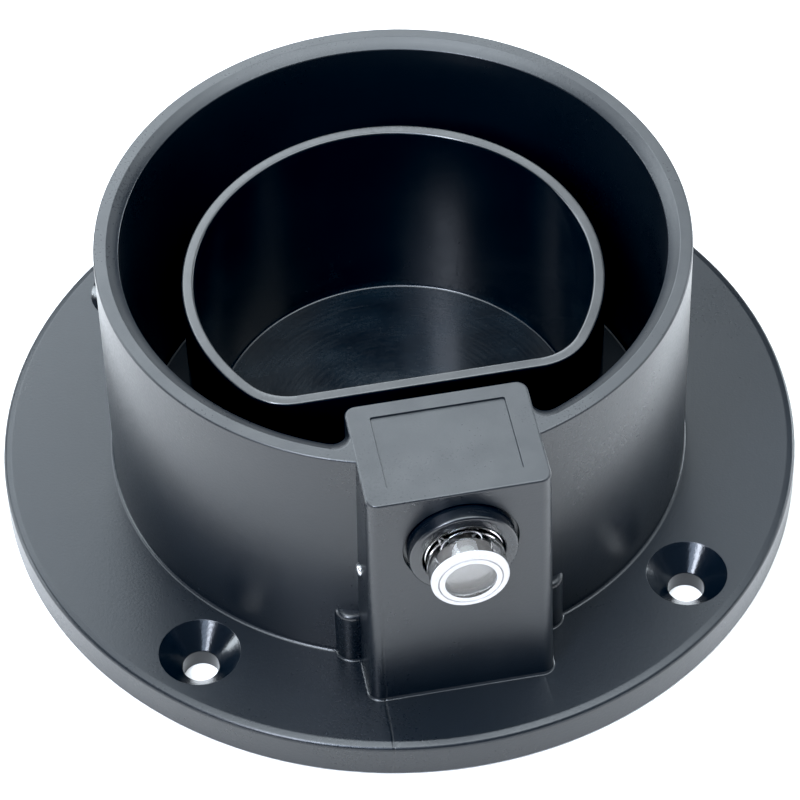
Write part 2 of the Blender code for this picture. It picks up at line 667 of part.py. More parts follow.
def main():
    for old in list(bpy.data.objects):
        bpy.data.objects.remove(old)

    make_housing()
    make_socket_collar()
    back = make_empty("wall_side", (0.0, 0.0, 0.0))
    for number, (x, y) in enumerate(collar_screw_places(), 1):
        make_countersunk_screw(
            f"collar_screw_{number}", 2.8 * MM, 1.15 * MM, 0.2 * MM, 6.2 * MM, (x, y, 0.0), back
        )

    button_axis = make_empty("button_axis", (0.0, TOWER_FRONT_TOP, BUTTON_Z), (radians(90.0), 0.0, 0.0))
    make_button_guide(button_axis)
    make_guide_nut(button_axis)
    make_push_button(button_axis)
    make_button_plunger(button_axis)
    make_button_seal(button_axis)
    make_plunger_clip(button_axis)
    make_button_spring(button_axis)

    make_latch_lever()
    make_pivot_pin()
    make_latch_spring()

    make_latch_cover()
    make_cover_gasket()
    for number, side in enumerate((-1, 1), 1):
        spot = (side * COVER_SCREW_X, COVER_SCREW_Y, 0.0)
        make_countersunk_screw(f"cover_screw_{number}", 2.4 * MM, 1.15 * MM, 0.45 * MM, 12.0 * MM, spot, back)


main()
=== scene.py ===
"""Looks for a wall holster that parks the connector of an electric-vehicle charging cable.

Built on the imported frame: +Z out of the wall, the latch tower at -Y. Lengths are in millimetres, and the
mesh helpers turn them into metres. Pieces are made where they stand, so object coordinates are the frame's.
"""
from math import asin, atan2, cos, pi, radians, sin, sqrt, tan, tau

import bmesh
import bpy
from mathutils import Matrix, Vector


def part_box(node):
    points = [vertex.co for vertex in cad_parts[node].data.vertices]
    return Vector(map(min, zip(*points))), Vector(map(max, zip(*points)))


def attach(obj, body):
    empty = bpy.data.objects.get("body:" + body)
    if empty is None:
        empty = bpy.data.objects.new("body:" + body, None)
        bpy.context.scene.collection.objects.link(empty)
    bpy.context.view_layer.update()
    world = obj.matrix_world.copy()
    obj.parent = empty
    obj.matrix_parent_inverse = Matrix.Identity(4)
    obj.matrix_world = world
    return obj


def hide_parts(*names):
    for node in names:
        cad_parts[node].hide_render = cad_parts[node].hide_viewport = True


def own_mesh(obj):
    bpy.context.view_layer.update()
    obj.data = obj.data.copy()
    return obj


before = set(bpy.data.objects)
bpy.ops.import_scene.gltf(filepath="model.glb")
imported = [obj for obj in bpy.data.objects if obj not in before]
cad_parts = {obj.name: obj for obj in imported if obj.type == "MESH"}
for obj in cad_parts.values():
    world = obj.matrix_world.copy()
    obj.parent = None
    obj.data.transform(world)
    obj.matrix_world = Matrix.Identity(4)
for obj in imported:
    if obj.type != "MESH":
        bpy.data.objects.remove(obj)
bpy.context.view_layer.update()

MM = 0.001


def box_mm(node):
    """Lowest and highest corner of a CAD node, in millimetres."""
    low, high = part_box(node)
    return low / MM, high / MM


HOUSING_HIGH = box_mm("housing")[1]
COLLAR_LOW, COLLAR_HIGH = box_mm("socket_collar")
GUIDE_LOW, GUIDE_HIGH = box_mm("button_guide")
BUTTON_LOW, BUTTON_HIGH = box_mm("push_button")
PLUNGER_HIGH = box_mm("button_plunger")[1]
PIN_LOW, PIN_HIGH = box_mm("pivot_pin")
COVER_LOW, COVER_HIGH = box_mm("latch_cover")

# Flange and sleeve
FLANGE_R = HOUSING_HIGH.x
FLANGE_T = 6.0
FLANGE_CROWN_WIDTH = 1.2
FLANGE_CROWN_DROP = 0.34
HOLE_GRID = 35.0
HOLE_R = 2.6
SINK_R = 5.8
SINK_DEPTH = 3.2
TOWER_TOP = HOUSING_HIGH.z
RIM_TOP = TOWER_TOP - 0.08
SLEEVE_R = 41.7
RIM_R = 39.9
BORE_R = 38.2
FOOT_BORE_R = 37.5
LEAD_Z = TOWER_TOP - 1.1
MOAT_FLOOR = 5.0
FOOT_FILLET = 0.5
BOSS_FILLET = 0.45
WELD_X = -8.86
WELD_SLANT = 0.045
WELD_HALF_WIDTH = 0.24
WELD_WANDER = 0.12
WELD_DEPTH = 0.05

# D-shaped collar
COLLAR_R = COLLAR_HIGH.x
COLLAR_Y = COLLAR_HIGH.y - COLLAR_R
COLLAR_FLAT_Y = COLLAR_LOW.y
COLLAR_TOP = COLLAR_HIGH.z
COLLAR_CORNER_R = 9.0
COLLAR_WALL = 1.75
COLLAR_FLOOR = 7.4
COLLAR_DRAFT = 1.4
SPIGOT_INSET = 3.4
SPIGOT_POCKET_FLOOR = 2.6
COLLAR_SCREW_R = 18.0

# Latch tower
TOWER_FOOT_Z = 2.0
TOWER_FOOT_HALF = 13.1
TOWER_TOP_HALF = 12.5
TOWER_FRONT_FOOT = -48.4
TOWER_FRONT = -48.0
TOWER_BACK = -30.07
TOWER_EDGE_R = 1.7
TOWER_BACK_EDGE_R = 1.6
TOWER_ROOT_R = 2.0
TOP_EDGE = 0.35
CAVITY = (-10.3, 10.3, -45.8, -32.1)
CAVITY_TOP = 45.0
PANEL = (-9.3, 9.1, -45.2, -32.5)
PANEL_DEPTH = 0.3
SCREW_BOSS = (13.7, -38.4)
SCREW_BOSS_R = 2.45
SCREW_BOSS_TOP = 15.5

# Button; its pieces are turned on an axis along -Y, and measured out from the tower's front
BUTTON_Z = 0.5 * (BUTTON_LOW.z + BUTTON_HIGH.z)
BUTTON_R = BUTTON_HIGH.x
BUTTON_TIP = TOWER_FRONT - BUTTON_LOW.y
BEZEL_R = GUIDE_HIGH.x
BEZEL_RECESS_R = BEZEL_R + 0.45
BEZEL_RECESS = 0.6
BEZEL_FRONT = TOWER_FRONT - GUIDE_LOW.y
BARREL_R = 6.3
BARREL_BORE_R = 5.6
BARREL_STOP = -2.7
BARREL_REAR = TOWER_FRONT - GUIDE_HIGH.y
STEM_R = 1.6
HEAD_R = PLUNGER_HIGH.x
HEAD = (2.9, 5.5)
HOLLOW_R = 3.95
HOLLOW_END = 5.6
DISH_R = 3.5
DISH_DEPTH = 0.5
RING_START = 5.9
BUTTON_SPRING = (BARREL_STOP + 0.05, 2.85)
CAP_REAR = 0.6
SEAL_GROOVE = (0.9, 1.8)
SEAL_GROOVE_R = 4.55
SEAL_R = 5.03
SEAL_WIRE_R = 0.38
TIP_GROOVE_R = 4.33
TIP_GROOVE_HALF = 0.12
TIP_GROOVE_DEPTH = 0.25
CLIP_GROOVE = (-5.4, -4.6)
CLIP_GROOVE_R = 1.2
CLIP = (-5.25, -4.75)
CLIP_R = 3.1
CLIP_BORE_R = 1.4
DOME_START = -5.5
NUT_R = 7.5
NUT = (-4.1, -2.5)

# Lever, pin and cover
PIVOT_Y = 0.5 * (PIN_LOW.y + PIN_HIGH.y)
PIVOT_Z = 0.5 * (PIN_LOW.z + PIN_HIGH.z)
PIN_R = 1.0
ARM_BACK_Y = -38.2
SPRING_Z = 34.0
PEG_R = 0.75
PEG_LENGTH = 0.9
COVER_RECESS = 3.4
COVER_FRONT = 2.1

# Camera, round a point near the collar's foot
CAMERA_TARGET = (0.42, 0.56, 11.6)
CAMERA_AZIMUTH = -9.45
CAMERA_ELEVATION = 48.72
CAMERA_ROLL = -1.73
CAMERA_DISTANCE = 571.8
CAMERA_LENS = 176.4

# Stage: the floor just under the wall face, the studio lights' usual colour and the darkest printed level
FLOOR_HALF = 4000.0
FLOOR_GAP = 0.1
DAYLIGHT = (0.90, 1.0, 1.08)
BLACK_LEVEL = 0.0036

# Name, azimuth and elevation in degrees, distance and (width, height) in metres, power, colour
LIGHTS = (
    ("back_left", 197.0, 38.0, 1.0, (0.92, 0.42), 7.8, DAYLIGHT),
    ("top", 180.0, 84.0, 1.0, (1.5, 1.4), 20.5, DAYLIGHT),
    ("overhead", 0.0, 82.0, 0.95, (1.1, 0.5), 9.0, DAYLIGHT),
    ("right", 84.0, 40.0, 1.0, (0.60, 0.45), 2.6, DAYLIGHT),
    ("left_low", -115.0, 15.0, 1.2, (0.50, 0.30), 6.5, DAYLIGHT),
    ("right_low", 116.0, 11.0, 1.2, (0.50, 0.25), 5.5, DAYLIGHT),
    ("key", -43.0, 46.0, 1.0, (0.18, 0.50), 9.5, (0.88, 0.96, 1.12)),
    ("key_spill", -28.0, 46.0, 1.0, (0.26, 0.50), 2.4, (0.74, 0.92, 1.20)),
)

# Points round a full turn
ROUND = 240
FINE_ROUND = 144
MIDDLE_ROUND = 96
SMALL_ROUND = 64


# ---------------------------------------------------------------- shader nodes
def add_node(tree, kind, inputs=None, **settings):
    """A shader node; an input is a value, or another node's socket to link."""
    made = tree.nodes.new(kind)
    for key, value in settings.items():
        setattr(made, key, value)
    for key, value in (inputs or {}).items():
        if isinstance(value, bpy.types.NodeSocket):
            tree.links.new(value, made.inputs[key])
        else:
            made.inputs[key].default_value = value
    return made


def object_coordinates(tree):
    return add_node(tree, "ShaderNodeTexCoord").outputs["Object"]


def noise(tree, size, detail=3.0, stretch=(1.0, 1.0, 1.0), vector=None):
    """Noise from 0 to 1 with patches about size millimetres across."""
    source = vector or object_coordinates(tree)
    mapped = add_node(tree, "ShaderNodeMapping", {"Vector": source, "Scale": stretch})
    inputs = {"Vector": mapped.outputs["Vector"], "Scale": 1.0 / (size * MM), "Detail": detail}
    return add_node(tree, "ShaderNodeTexNoise", inputs).outputs["Fac"]


def remap(tree, value, low, high, to_low=0.0, to_high=1.0):
    """A value's range from low to high, stretched to another range and kept within it."""
    inputs = {"Value": value, "From Min": low, "From Max": high, "To Min": to_low, "To Max": to_high}
    return add_node(tree, "ShaderNodeMapRange", inputs).outputs["Result"]


def calculate(tree, operation, first, second=0.0):
    made = add_node(tree, "ShaderNodeMath", {0: first, 1: second}, operation=operation)
    return made.outputs["Value"]


def mix_colours(tree, share, first, second):
    inputs = {0: share, 6: first, 7: second}
    return add_node(tree, "ShaderNodeMix", inputs, data_type="RGBA").outputs[2]


def rgb(colour, factor=1.0):
    return tuple(factor * channel for channel in colour) + (1.0,)


def edge_mask(tree, width):
    """1 on the object's outer and inner edges, 0 on its flat faces."""
    soft = add_node(tree, "ShaderNodeBevel", {"Radius": width * MM}, samples=4)
    plain = add_node(tree, "ShaderNodeNewGeometry")
    inputs = {0: soft.outputs["Normal"], 1: plain.outputs["Normal"]}
    same = add_node(tree, "ShaderNodeVectorMath", inputs, operation="DOT_PRODUCT").outputs["Value"]
    return remap(tree, same, 0.995, 0.90)


def bump(tree, layers):
    """Stacks (height, depth in millimetres) layers into one normal."""
    normal = None
    for height, depth in layers:
        inputs = {"Height": height, "Distance": depth * MM, "Strength": 1.0}
        if normal:
            inputs["Normal"] = normal
        normal = add_node(tree, "ShaderNodeBump", inputs).outputs["Normal"]
    return normal


def new_material(name):
    made = bpy.data.materials.new(name)
    made.use_nodes = True
    return made, made.node_tree, made.node_tree.nodes["Principled BSDF"]


def set_shader(tree, shader, values):
    for key, value in values.items():
        if isinstance(value, bpy.types.NodeSocket):
            tree.links.new(value, shader.inputs[key])
        else:
            shader.inputs[key].default_value = value


def source(shader, key):
    """The socket that feeds one of the shader's inputs."""
    return shader.inputs[key].links[0].from_socket


def axes(tree, vector=None):
    """The X, Y and Z of a vector, or of the object's coordinates."""
    return add_node(tree, "ShaderNodeSeparateXYZ", {0: vector or object_coordinates(tree)}).outputs


def carve(tree, shader, height, depth, raised=True):
    """Adds one more bump over the shader's normal, or a groove when raised is False."""
    inputs = {"Height": height, "Distance": depth * MM, "Strength": 1.0, "Normal": source(shader, "Normal")}
    made = add_node(tree, "ShaderNodeBump", inputs, invert=not raised)
    tree.links.new(made.outputs["Normal"], shader.inputs["Normal"])


def product(tree, *values):
    """All the values multiplied together."""
    result = values[0]
    for value in values[1:]:
        result = calculate(tree, "MULTIPLY", result, value)
    return result


# ---------------------------------------------------------------- materials
def plastic(name, colour, roughness, grain=(0.35, 0.012), wear=1.6, specular=0.5):
    """Moulded plastic: mottled colour, a spark-eroded grain, slow waves, light scuffs and paler edges."""
    made, tree, shader = new_material(name)
    mottle = noise(tree, 22.0, 4.0)
    specks = noise(tree, 0.7, 2.0)
    fine = noise(tree, grain[0], 2.0)
    waves = noise(tree, 14.0, 1.0)
    scuffs = remap(tree, noise(tree, 9.0, 5.0, (1.0, 14.0, 3.0)), 0.62, 0.72)
    patches = remap(tree, noise(tree, 30.0, 2.0), 0.50, 0.62)
    marks = product(tree, scuffs, patches)
    edges = product(tree, edge_mask(tree, 0.35), remap(tree, noise(tree, 3.0, 3.0), 0.3, 0.7))
    body = mix_colours(tree, remap(tree, mottle, 0.3, 0.7), rgb(colour, 0.86), rgb(colour, 1.14))
    body = mix_colours(tree, remap(tree, specks, 0.35, 0.75, 0.0, 0.35), body, rgb(colour, 1.5))
    body = mix_colours(tree, product(tree, edges, 0.7), body, rgb(colour, wear))
    rough = remap(tree, mottle, 0.3, 0.7, roughness - 0.03, roughness + 0.03)
    rough = calculate(tree, "ADD", rough, remap(tree, fine, 0.3, 0.7, -0.03, 0.03))
    rough = calculate(tree, "ADD", rough, product(tree, marks, 0.10))
    values = {
        "Base Color": body,
        "Roughness": rough,
        "Specular IOR Level": specular,
        "Normal": bump(tree, [(waves, 0.05), (fine, grain[1])]),
    }
    set_shader(tree, shader, values)
    return made


def painted_top_sheen(tree, shader, height, colour):
    """Paler plastic on the level faces at the very top: painted sheen of the light these faces reflect, in
    patches like rubbing from connectors.
    """
    top = remap(tree, axes(tree)["Z"], (height - 0.9) * MM, (height - 0.5) * MM)
    facing = axes(tree, add_node(tree, "ShaderNodeNewGeometry").outputs["Normal"])
    level = remap(tree, facing["Z"], 0.6, 0.97)
    patchy = remap(tree, noise(tree, 4.0, 4.0, (1.0, 1.0, 0.3)), 0.3, 0.7, 0.7, 1.0)
    # Upward-facing faces near the top get a paler colour: painted sheen
    share = product(tree, top, level, patchy)
    rubbed_and_sheen = mix_colours(tree, share, source(shader, "Base Color"), rgb(colour))
    tree.links.new(rubbed_and_sheen, shader.inputs["Base Color"])


def polished_sinks(tree, shader, roughness):
    """The sinks of the wall holes are glossier than the grained flange: polished pins mould them."""
    spot = axes(tree)
    offsets = []
    for axis in ("X", "Y"):
        away = calculate(tree, "SUBTRACT", calculate(tree, "ABSOLUTE", spot[axis]), HOLE_GRID * MM)
        offsets.append(calculate(tree, "POWER", away, 2.0))
    away = calculate(tree, "SQRT", calculate(tree, "ADD", *offsets))
    near = remap(tree, away, (SINK_R + 0.15) * MM, (SINK_R + 0.05) * MM)
    below = remap(tree, spot["Z"], (FLANGE_T - 0.02) * MM, (FLANGE_T - 0.12) * MM)
    before = source(shader, "Roughness")
    excess = product(tree, calculate(tree, "SUBTRACT", before, roughness), near, below)
    tree.links.new(calculate(tree, "SUBTRACT", before, excess), shader.inputs["Roughness"])


def weld_line(tree, shader):
    """The fine crease that the mould leaves across the flange, in front of the tower; its colour is darkened
    too, a painted shade in the crease.
    """
    spot = axes(tree)
    wander = remap(tree, noise(tree, 2.5, 2.0), 0.3, 0.7, -WELD_WANDER * MM, WELD_WANDER * MM)
    across = calculate(tree, "ADD", spot["X"], wander)
    slant = product(tree, spot["Y"], -WELD_SLANT)
    across = calculate(tree, "ADD", calculate(tree, "ADD", across, slant), -WELD_X * MM)
    line = remap(tree, calculate(tree, "ABSOLUTE", across), 0.05 * MM, WELD_HALF_WIDTH * MM, 1.0, 0.0)
    in_front = remap(tree, spot["Y"], TOWER_FRONT * MM, (TOWER_FRONT - 0.6) * MM)
    line = product(tree, line, in_front)
    carve(tree, shader, line, WELD_DEPTH, raised=False)
    # Darker colour along the crease: painted shade
    share = product(tree, line, 0.5)
    crease_shade = mix_colours(tree, share, source(shader, "Base Color"), (0.0012, 0.002, 0.003, 1.0))
    tree.links.new(crease_shade, shader.inputs["Base Color"])


def housing_plastic():
    made = plastic("charcoal_plastic", (0.0024, 0.0040, 0.0064), 0.31, grain=(0.40, 0.014), specular=0.42)
    tree = made.node_tree
    shader = tree.nodes["Principled BSDF"]
    weld_line(tree, shader)
    # Paler colour on the tower's top and the sleeve's rim: painted sheen
    painted_top_sheen(tree, shader, TOWER_TOP, (0.032, 0.033, 0.034))
    polished_sinks(tree, shader, 0.16)
    return made


def collar_plastic():
    """The collar's glossier black, with faint turned rings and rubbed patches on its floor; the patches are
    tinted blue, a painted reflection of the bluish key light.
    """
    made = plastic("black_plastic", (0.0010, 0.0022, 0.0040), 0.18, grain=(0.5, 0.006))
    tree = made.node_tree
    shader = tree.nodes["Principled BSDF"]
    spot = axes(tree)
    floor = remap(tree, spot["Z"], (COLLAR_FLOOR + 1.2) * MM, (COLLAR_FLOOR + 0.6) * MM)
    across = calculate(tree, "POWER", spot["X"], 2.0)
    along = calculate(tree, "POWER", calculate(tree, "SUBTRACT", spot["Y"], COLLAR_Y * MM), 2.0)
    radius = calculate(tree, "SQRT", calculate(tree, "ADD", across, along))
    turn = product(tree, calculate(tree, "ARCTAN2", spot["Y"], spot["X"]), 1.6 * MM)
    polar = add_node(tree, "ShaderNodeCombineXYZ", {"X": radius, "Y": turn})
    rings = noise(tree, 0.55, 2.0, vector=polar.outputs["Vector"])
    rings = product(tree, remap(tree, rings, 0.35, 0.65), floor)
    rubbed_and_sheen = product(tree, remap(tree, noise(tree, 9.0, 4.0, (1.0, 1.6, 1.0)), 0.36, 0.76), floor)
    # Rubbed patches are rougher; their blue tint is a painted reflection of the bluish key light
    share = product(tree, rubbed_and_sheen, 0.55)
    colour = mix_colours(tree, share, source(shader, "Base Color"), (0.0008, 0.0062, 0.0115, 1.0))
    tree.links.new(colour, shader.inputs["Base Color"])
    rough = calculate(tree, "ADD", source(shader, "Roughness"), product(tree, rings, 0.03))
    rough = calculate(tree, "ADD", rough, product(tree, rubbed_and_sheen, 0.10))
    tree.links.new(rough, shader.inputs["Roughness"])
    carve(tree, shader, rings, 0.006)
    # Paler colour on the collar's rim: painted sheen
    painted_top_sheen(tree, shader, COLLAR_TOP, (0.036, 0.036, 0.036))
    return made


def bezel_plastic():
    return plastic("bezel_plastic", (0.0020, 0.0032, 0.0052), 0.24, grain=(0.3, 0.004))


def lever_plastic():
    return plastic("lever_plastic", (0.05, 0.05, 0.055), 0.45, grain=(0.3, 0.01))


def pale_plastic():
    return plastic("pale_plastic", (0.124, 0.113, 0.104), 0.38, grain=(0.25, 0.005), wear=1.2)


def white_ring():
    """The white ring moulded into the cap's tip."""
    return plastic("white_ring", (0.36, 0.35, 0.35), 0.30, grain=(0.25, 0.003), wear=1.0)


def clear_plastic():
    """Clear acrylic with faint flow lines and a slightly hazy, handled surface."""
    made, tree, shader = new_material("clear_plastic")
    flow = noise(tree, 3.0, 2.0, (1.0, 0.4, 1.0))
    haze = noise(tree, 1.2, 4.0)
    tint = mix_colours(tree, remap(tree, flow, 0.3, 0.7), (0.97, 0.98, 0.99, 1.0), (0.99, 0.99, 0.99, 1.0))
    values = {
        "Base Color": tint,
        "Roughness": remap(tree, haze, 0.35, 0.75, 0.02, 0.07),
        "Transmission Weight": 1.0,
        "IOR": 1.49,
        "Normal": bump(tree, [(flow, 0.02)]),
    }
    set_shader(tree, shader, values)
    return made


def metal(name, colour, roughness, stretch):
    """Plated or drawn steel, with fine lines along one direction and dull patches."""
    made, tree, shader = new_material(name)
    lines = noise(tree, 0.5, 3.0, stretch)
    patches = noise(tree, 2.0, 4.0)
    tone = mix_colours(tree, remap(tree, patches, 0.35, 0.7), rgb(colour, 0.82), rgb(colour, 1.08))
    rough = remap(tree, patches, 0.3, 0.7, roughness - 0.06, roughness + 0.10)
    rough = calculate(tree, "ADD", rough, remap(tree, lines, 0.3, 0.7, -0.03, 0.03))
    values = {
        "Base Color": tone,
        "Roughness": rough,
        "Metallic": 1.0,
        "Normal": bump(tree, [(lines, 0.004)]),
    }
    set_shader(tree, shader, values)
    return made


def zinc_steel():
    return metal("zinc_steel", (0.66, 0.67, 0.69), 0.28, (1.0, 1.0, 0.2))


def spring_steel():
    return metal("spring_steel", (0.55, 0.55, 0.57), 0.22, (1.0, 4.0, 1.0))


def black_rubber():
    """Matt rubber with a dusty bloom."""
    made, tree, shader = new_material("black_rubber")
    bloom = remap(tree, noise(tree, 1.5, 4.0), 0.4, 0.7)
    values = {
        "Base Color": mix_colours(tree, bloom, (0.010, 0.010, 0.010, 1.0), (0.030, 0.030, 0.032, 1.0)),
        "Roughness": remap(tree, bloom, 0.0, 1.0, 0.62, 0.85),
        "Normal": bump(tree, [(noise(tree, 0.2, 2.0), 0.01)]),
    }
    set_shader(tree, shader, values)
    return made


def floor_material():
    made, tree, shader = new_material("pale_floor")
    tone = mix_colours(tree, noise(tree, 60.0, 2.0), (0.82, 0.79, 0.76, 1.0), (0.84, 0.81, 0.78, 1.0))
    # The floor glows like a lit table; the glow fades to nothing near the holster, a painted shade round it
    away = add_node(tree, "ShaderNodeVectorMath", {0: object_coordinates(tree)}, operation="LENGTH")
    glow_with_painted_shade = remap(tree, away.outputs["Value"], 1.2 * FLANGE_R * MM, 3.0 * FLANGE_R * MM, 0.0, 0.6)
    values = {"Base Color": tone, "Roughness": 0.9, "Specular IOR Level": 0.1}
    values |= {"Emission Color": (1.12, 0.98, 1.0, 1.0), "Emission Strength": glow_with_painted_shade}
    set_shader(tree, shader, values)
    return made


# ---------------------------------------------------------------- outlines, in millimetres
def arc(centre, radius, start, end, steps):
    """Points on an arc in the plane, both ends included; angles in radians."""
    x, y = centre
    angles = [start + (end - start) * i / steps for i in range(steps + 1)]
    return [(x + radius * cos(angle), y + radius * sin(angle)) for angle in angles]


def rounded(corners, quarter=6):
    """The path through (x, y, radius) corners, each turned on its own radius."""
    points = []
    for i, (x, y, radius) in enumerate(corners):
        if radius == 0.0:
            points.append((x, y))
            continue
        here = Vector((x, y))
        before = (Vector(corners[i - 1][:2]) - here).normalized()
        after = (Vector(corners[(i + 1) % len(corners)][:2]) - here).normalized()
        turn = pi - before.angle(after)
        centre = here + (before + after).normalized() * radius / cos(0.5 * turn)
        reach = radius * tan(0.5 * turn)
        first, last = here + before * reach - centre, here + after * reach - centre
        start, end = atan2(first.y, first.x), atan2(last.y, last.x)
        end = start + (end - start + pi) % tau - pi
        steps = max(2, round(quarter * turn / (0.5 * pi)))
        points += arc(centre, radius, start, end, steps)
    return points


def rectangle(x0, x1, y0, y1, front_r, back_r, quarter=8):
    corners = [(x0, y0, front_r), (x1, y0, front_r), (x1, y1, back_r), (x0, y1, back_r)]
    return rounded(corners, quarter)


def d_outline(inset):
    """The collar's D, shrunk evenly by inset: a round back, a flat at -Y and two rounded corners."""
    radius = COLLAR_R - inset
    corner = COLLAR_CORNER_R - inset
    flat = COLLAR_Y - COLLAR_FLAT_Y - inset
    corner_x = sqrt((radius - corner) ** 2 - (flat - corner) ** 2)
    corner_y = COLLAR_Y - (flat - corner)
    turn = asin((flat - corner) / (radius - corner))
    points = arc((0.0, COLLAR_Y), radius, -turn, pi + turn, 140)
    points += arc((-corner_x, corner_y), corner, pi + turn, 1.5 * pi, 20)[1:]
    points += [(corner_x * (0.5 * i - 1.0), COLLAR_Y - flat) for i in range(1, 4)]
    return points + arc((corner_x, corner_y), corner, -0.5 * pi, -turn, 20)[:-1]


def tower_half(z):
    """Half the tower's width at a height; it narrows towards its top for draft."""
    share = (z - TOWER_FOOT_Z) / (TOWER_TOP - TOWER_FOOT_Z)
    return TOWER_FOOT_HALF + share * (TOWER_TOP_HALF - TOWER_FOOT_HALF)


def tower_section(grow, z):
    """The tower's outline at a height, grown outwards by so much."""
    share = (z - TOWER_FOOT_Z) / (TOWER_TOP - TOWER_FOOT_Z)
    half = tower_half(z) + grow
    front = TOWER_FRONT_FOOT + share * (TOWER_FRONT - TOWER_FRONT_FOOT) - grow
    radii = (TOWER_EDGE_R + grow, TOWER_BACK_EDGE_R + grow)
    return rectangle(-half, half, front, TOWER_BACK + grow, *radii, quarter=12)


def bore_at(z):
    """The sleeve's inner radius at a height: drafted, then opening through the lead-in."""
    if z > LEAD_Z:
        return BORE_R + (RIM_R - BORE_R) * (z - LEAD_Z) / (TOWER_TOP - LEAD_Z)
    return FOOT_BORE_R + (BORE_R - FOOT_BORE_R) * (z - MOAT_FLOOR) / (LEAD_Z - MOAT_FLOOR)


def root_section(grow, z):
    """The hollow corner between the tower's side and the bore; its far sides lie inside their walls."""
    sink = 0.01
    bore, half = bore_at(z), tower_half(z)
    centre_x = half + TOWER_ROOT_R - sink
    centre_y = -sqrt((bore - TOWER_ROOT_R + sink) ** 2 - centre_x**2)
    meet = atan2(centre_y, centre_x)
    points = arc((centre_x, centre_y), TOWER_ROOT_R - grow, meet, -pi, 14)
    inside, deep = half - 1.0, bore + 0.9
    points += [(inside, centre_y), (inside, -sqrt(deep**2 - inside**2))]
    return points + [(deep * cos(meet), deep * sin(meet))]


def cover_outline(inset):
    """The latch cover's outline: a rectangle with a round ear on each side for its screw."""
    half, front, back = 12.6 - inset, -47.2 + inset, -30.6 - inset
    screw_x, screw_y = SCREW_BOSS
    ear = 4.0 - inset
    lean = asin(sqrt(ear**2 - (screw_x - half) ** 2) / ear)
    right = arc((screw_x, screw_y), ear, lean - pi, pi - lean, 28)
    left = arc((-screw_x, screw_y), ear, lean, tau - lean, 28)
    corner = [(half - 0.6, 0.5 * pi), (0.6 - half, pi)]
    back_corners = [arc((x, back - 0.6), 0.6, start - 0.5 * pi, start, 4) for x, start in corner]
    front_corners = [
        arc((0.6 - half, front + 0.6), 0.6, pi, 1.5 * pi, 4),
        arc((half - 0.6, front + 0.6), 0.6, -0.5 * pi, 0.0, 4),
    ]
    return front_corners[1] + right + sum(back_corners, []) + left + front_corners[0]


def sector_outline(start, end, inner, outer, corner):
    """A stretch of a ring between two angles in degrees, with rounded corners."""
    middle = 0.5 * (inner + outer)
    a, b = radians(start) * middle, radians(end) * middle
    path = rectangle(a, b, inner, outer, corner, corner, quarter=4)
    points = []
    for (u0, v0), (u1, v1) in zip(path, path[1:] + path[:1]):
        steps = max(1, round(abs(u1 - u0) / 1.5))
        shares = [i / steps for i in range(steps)]
        points += [(u0 + (u1 - u0) * share, v0 + (v1 - v0) * share) for share in shares]
    return [(v * cos(u / middle), v * sin(u / middle)) for u, v in points]


# ---------------------------------------------------------------- meshes
def shade(made, angle=40.0):
    made.data.shade_smooth()
    made.data.set_sharp_from_angle(angle=radians(angle))


def mesh_object(name, bm, material=None):
    """Turns a bmesh in millimetres into an object in metres."""
    bmesh.ops.recalc_face_normals(bm, faces=bm.faces)
    bmesh.ops.scale(bm, vec=(MM, MM, MM), verts=bm.verts)
    mesh = bpy.data.meshes.new(name)
    bm.to_mesh(mesh)
    bm.free()
    if material:
        mesh.materials.append(material)
    made = bpy.data.objects.new(name, mesh)
    bpy.context.scene.collection.objects.link(made)
    shade(made)
    return made


def skin(name, loops, material=None, capped=True):
    """Joins loops with the same number of points, one after the other."""
    bm = bmesh.new()
    rings = [[bm.verts.new(point) for point in loop] for loop in loops]
    pairs = list(zip(rings, rings[1:]))
    if not capped:
        pairs.append((rings[-1], rings[0]))
    for lower, upper in pairs:
        for i in range(len(lower)):
            j = (i + 1) % len(lower)
            bm.faces.new((lower[i], lower[j], upper[j], upper[i]))
    if capped:
        bm.faces.new(rings[0][::-1])
        bm.faces.new(rings[-1])
    return mesh_object(name, bm, material)


def along_path(name, outline_at, path, material=None):
    """A solid whose outline at each (offset, height) of a path is outline_at(offset)."""
    return skin(name, [[(x, y, z) for x, y in outline_at(offset)] for offset, z in path], material)


def by_height(name, section_at, path, material=None):
    """A solid whose section at each (growth, height) of a path depends on both."""
    return skin(name, [[(x, y, z) for x, y in section_at(grow, z)] for grow, z in path], material)


def prism(name, outline, z0, z1, material=None):
    return skin(name, [[(x, y, z) for x, y in outline] for z in (z0, z1)], material)


def turned(name, path, material=None, steps=SMALL_ROUND, closed=False):
    """Revolves a path of (radius, height) points that ends on the axis, or is closed on itself."""
    bm = bmesh.new()
    circle = [(cos(tau * i / steps), sin(tau * i / steps)) for i in range(steps)]
    rings = []
    for radius, height in path:
        spots = [(0.0, 0.0)] if radius == 0.0 else [(radius * x, radius * y) for x, y in circle]
        rings.append([bm.verts.new((x, y, height)) for x, y in spots])
    pairs = list(zip(rings, rings[1:]))
    if closed:
        pairs.append((rings[-1], rings[0]))
    for lower, upper in pairs:
        for i in range(steps):
            j = (i + 1) % steps
            corners = [lower[i % len(lower)], lower[j % len(lower)]]
            corners += [upper[j % len(upper)], upper[i % len(upper)]]
            bm.faces.new(list(dict.fromkeys(corners)))
    return mesh_object(name, bm, material)


def place(made, location=(0.0, 0.0, 0.0), turn=None):
    """Moves a mesh, location in millimetres, so that its object stays at the origin."""
    if turn:
        made.data.transform(turn)
    made.data.transform(Matrix.Translation(Vector(location) * MM))
    return made


